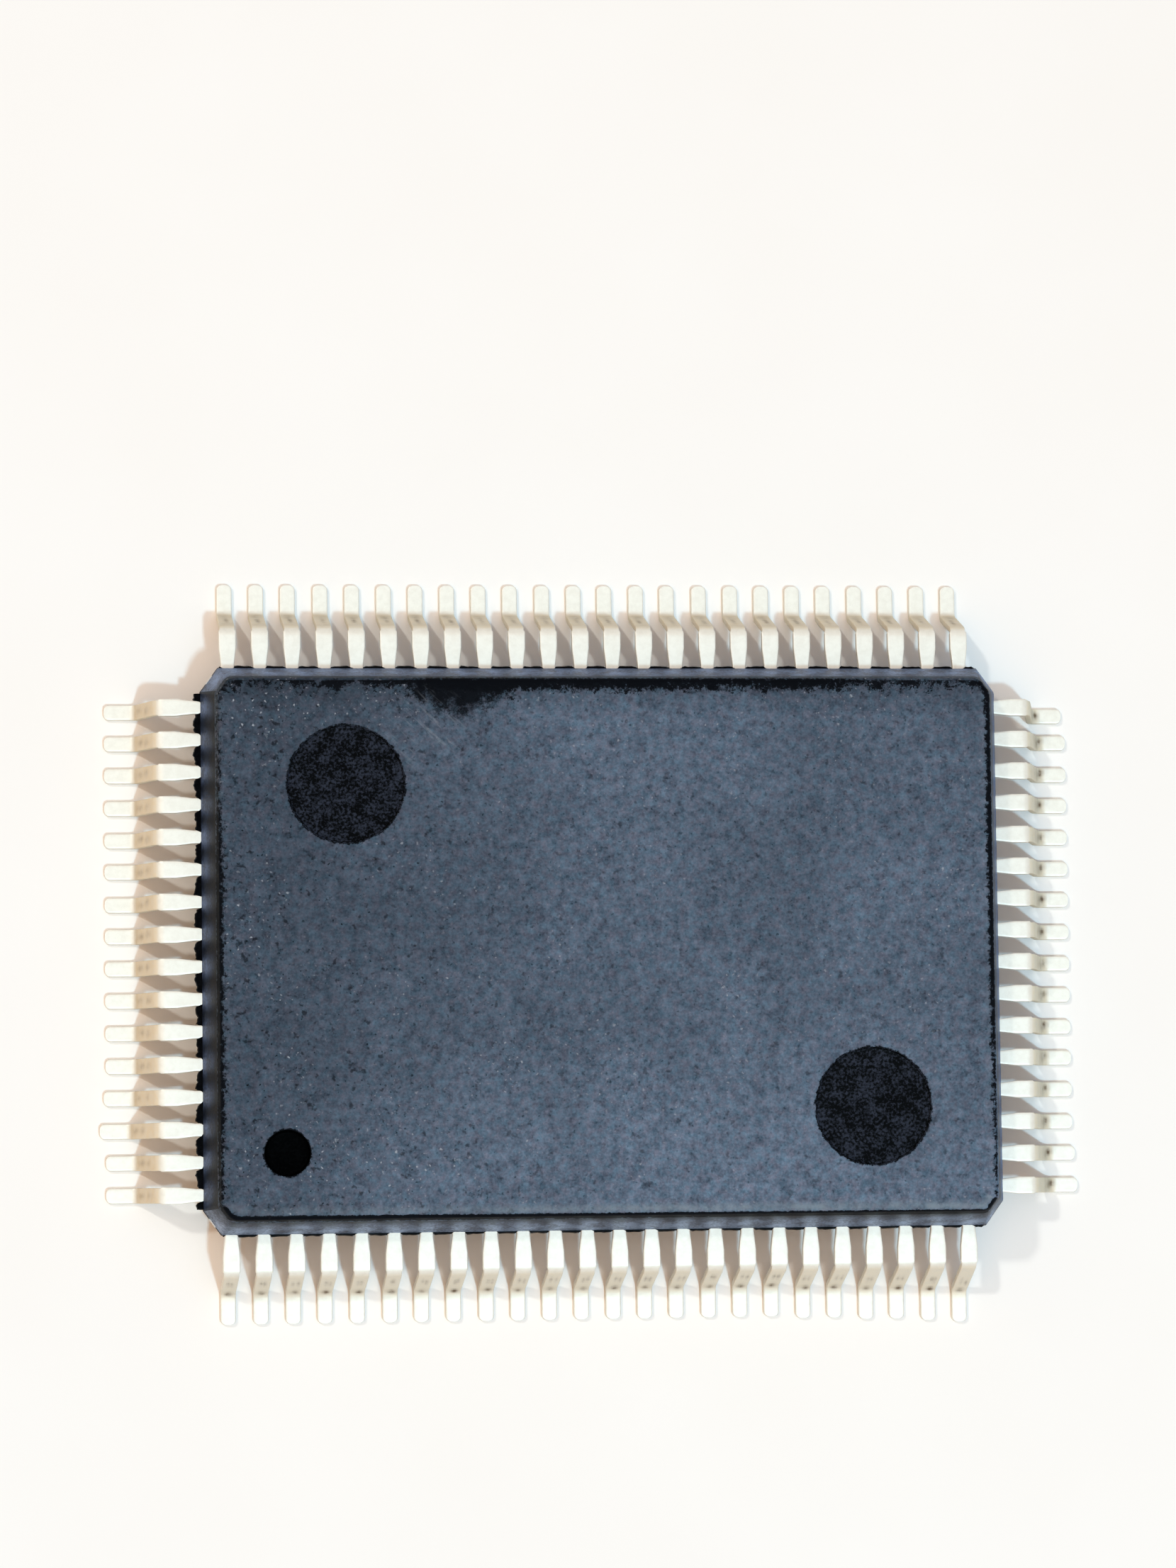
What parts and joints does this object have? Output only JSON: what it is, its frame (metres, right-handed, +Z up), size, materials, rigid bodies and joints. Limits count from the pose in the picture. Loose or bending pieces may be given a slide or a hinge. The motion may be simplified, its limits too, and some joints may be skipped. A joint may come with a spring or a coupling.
{
  "type": "integrated circuit",
  "caption": "Plastic quad flat package integrated circuit: thin rectangular moulded body, gull-wing leads along every edge, die, pad and bond wires inside. Solders flat to a circuit board.",
  "frame": {"origin": "middle of the four rows of leads, on the plane that their feet stand on", "axes": "+X along the long side of the body, +Z up out of the board; the dimple by lead 1 is at -X, -Y"},
  "size_m": [0.0247, 0.0186, 0.0028],
  "materials": {
    "moulding_compound": "fine spark-eroded grain, dark blue-grey",
    "solder_plate": "satin tin-lead plating, slightly tarnished on the slopes",
    "lead_frame_alloy": "bare rolled sheet",
    "die_adhesive": "silver-filled epoxy",
    "silicon": "polished silicon",
    "gold_wire": "drawn gold wire"
  },
  "bodies": {
    "root": {"die": "silicon", "die_attach": "die_adhesive", "die_pad": "lead_frame_alloy", "front_bond_wires_1": "gold_wire", "front_bond_wires_2": "gold_wire", "front_bond_wires_3": "gold_wire", "front_leads_1": "solder_plate", "front_leads_2": "solder_plate", "front_leads_3": "solder_plate", "left_bond_wires_1": "gold_wire", "left_bond_wires_2": "gold_wire", "left_leads_1": "solder_plate", "left_leads_2": "solder_plate", "moulded_body": "moulding_compound", "rear_bond_wires_1": "gold_wire", "rear_bond_wires_2": "gold_wire", "rear_bond_wires_3": "gold_wire", "rear_leads_1": "solder_plate", "rear_leads_2": "solder_plate", "rear_leads_3": "solder_plate", "right_bond_wires_1": "gold_wire", "right_bond_wires_2": "gold_wire", "right_leads_1": "solder_plate", "right_leads_2": "solder_plate"}
  },
  "joints": []
}
